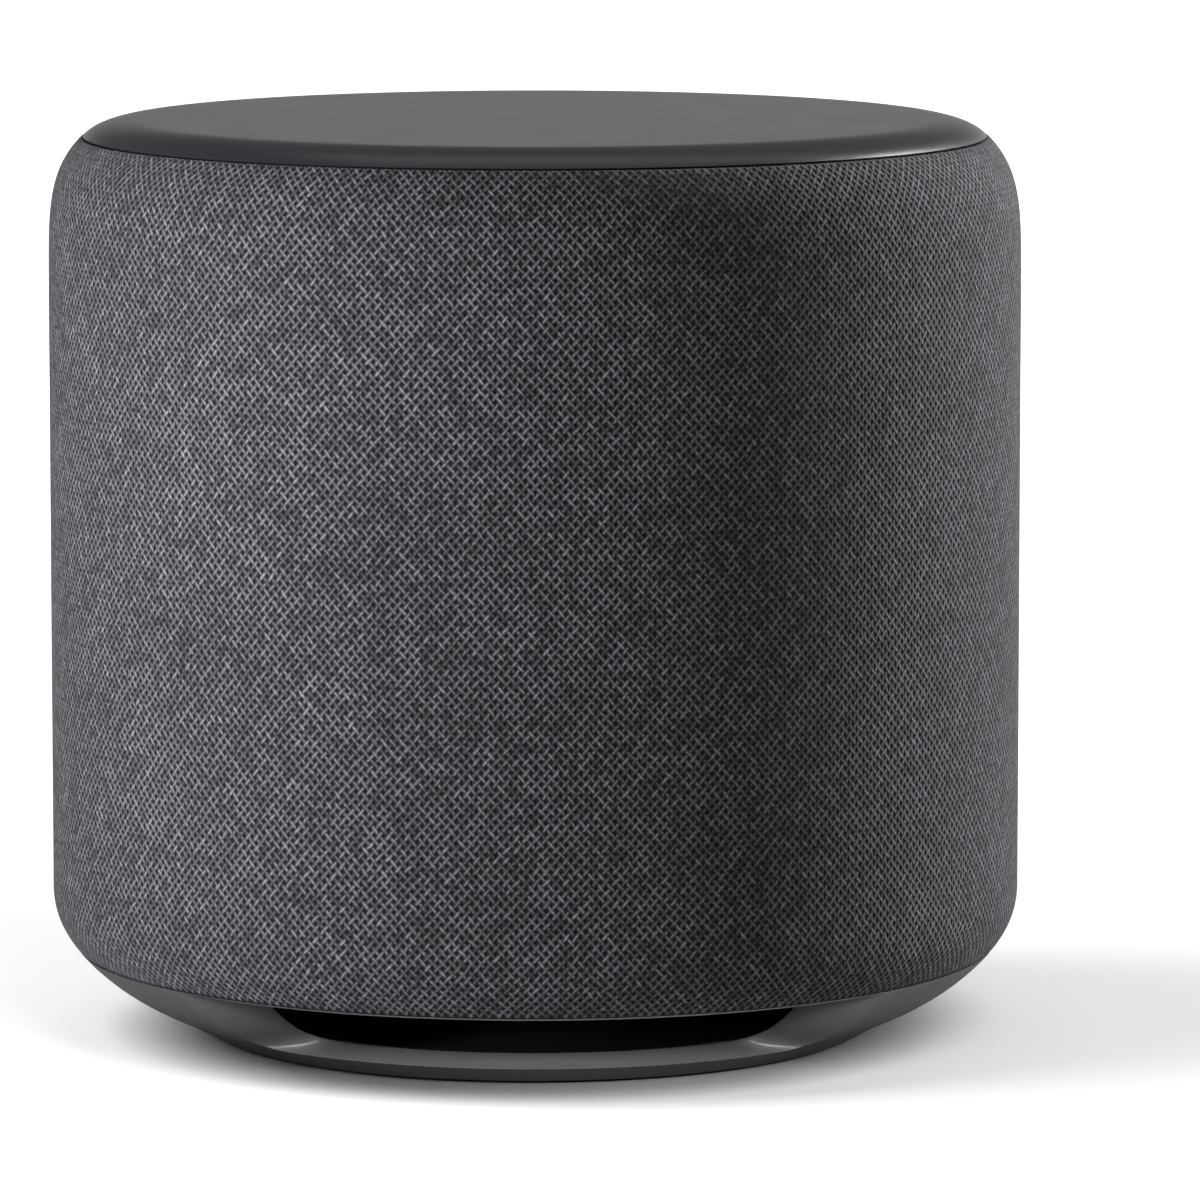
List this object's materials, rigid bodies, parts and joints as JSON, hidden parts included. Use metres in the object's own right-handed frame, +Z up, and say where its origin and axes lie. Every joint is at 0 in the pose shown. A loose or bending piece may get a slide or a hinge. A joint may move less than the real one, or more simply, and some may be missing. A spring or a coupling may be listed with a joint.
{
  "type": "wireless subwoofer",
  "caption": "Cloth-wrapped drum subwoofer with a rounded lid, a down-firing woofer over a front sound window, a bowl-shaped base and a recessed rear panel.",
  "frame": {"origin": "centre of the underside, on the surface the foot ring stands on", "axes": "+Z up, -Y to the front where the sound window opens, +Y to the rear panel, +X to the right seen from the front"},
  "size_m": [0.21, 0.21, 0.1984],
  "materials": {
    "cloth": "charcoal heathered plain weave on the bias",
    "lid_plastic": "fine satin, dark slate grey",
    "base_plastic": "semi-matte dark grey",
    "inner_plastic": "moulded matt black",
    "rubber": "matt black",
    "circuit_board": "green solder mask over glass laminate",
    "steel": "zinc plated",
    "dark_steel": "black coated",
    "aluminium": "extruded, plain",
    "enamelled_copper": "clear enamel over copper",
    "brass": "nickel-free plain brass",
    "ferrite": "sintered, dull",
    "cone_paper": "pressed, coated",
    "treated_cloth": "resin-treated cotton",
    "former_film": "amber film",
    "clear_plastic": "frosted light guide",
    "white_ceramic": "plain",
    "capacitor_sleeve": "shrink sleeve, dark blue",
    "foam": "open-cell foam",
    "cable_sheath": "smooth black sheath"
  },
  "bodies": {
    "body": {"top_cover": "lid_plastic", "fabric_sleeve": "cloth", "main_housing": "inner_plastic", "base_cowl": "base_plastic", "bottom_plate": "base_plastic", "foot_ring": "rubber", "base_screw_1": "dark_steel", "base_screw_2": "dark_steel", "base_screw_3": "dark_steel", "base_screw_4": "dark_steel", "baffle_plate": "inner_plastic", "bulkhead": "inner_plastic", "woofer_basket": "dark_steel", "woofer_gasket": "rubber", "woofer_surround": "rubber", "spider": "treated_cloth", "front_pole_plate": "steel", "magnet": "ferrite", "back_pole_plate": "steel", "terminal_strip": "brass", "woofer_screw_1": "dark_steel", "woofer_screw_2": "dark_steel", "woofer_screw_3": "dark_steel", "woofer_screw_4": "dark_steel", "woofer_screw_5": "dark_steel", "woofer_screw_6": "dark_steel", "rear_panel": "inner_plastic", "inlet_housing": "inner_plastic", "inlet_pin_left": "brass", "inlet_pin_right": "brass", "tact_switch": "dark_steel", "io_board": "circuit_board", "status_led": "clear_plastic", "light_pipe": "clear_plastic", "panel_screw_1": "dark_steel", "panel_screw_2": "dark_steel", "psu_board": "circuit_board", "transformer": "former_film", "bulk_capacitor_1": "capacitor_sleeve", "bulk_capacitor_2": "capacitor_sleeve", "emi_choke": "enamelled_copper", "mains_fuse": "white_ceramic", "psu_heatsink": "aluminium", "amp_board": "circuit_board", "amp_heatsink": "aluminium", "output_inductor_1": "ferrite", "output_inductor_2": "ferrite", "radio_shield": "steel", "antenna_left": "circuit_board", "antenna_right": "circuit_board", "mains_lead": "cable_sheath", "control_lead": "cable_sheath", "speaker_lead": "cable_sheath", "damping_foam": "foam"},
    "cone_assembly": {"woofer_cone": "cone_paper", "dust_cap": "cone_paper", "voice_coil_former": "former_film", "voice_coil": "enamelled_copper"},
    "button": {"action_button": "base_plastic", "switch_plunger": "white_ceramic"}
  },
  "joints": [
    {"name": "cone_stroke", "type": "slide", "parent": "body", "child": "cone_assembly", "axis": [0, 0, 1], "range_m": [-0.006, 0.006], "stiffness_N_per_m": 2500, "deforming": ["woofer_surround", "spider"]},
    {"name": "button_press", "type": "slide", "parent": "body", "child": "button", "axis": [0, -1, 0], "range_m": [0, 0.0008], "stiffness_N_per_m": 1500, "springref_m": -0.0005}
  ]
}
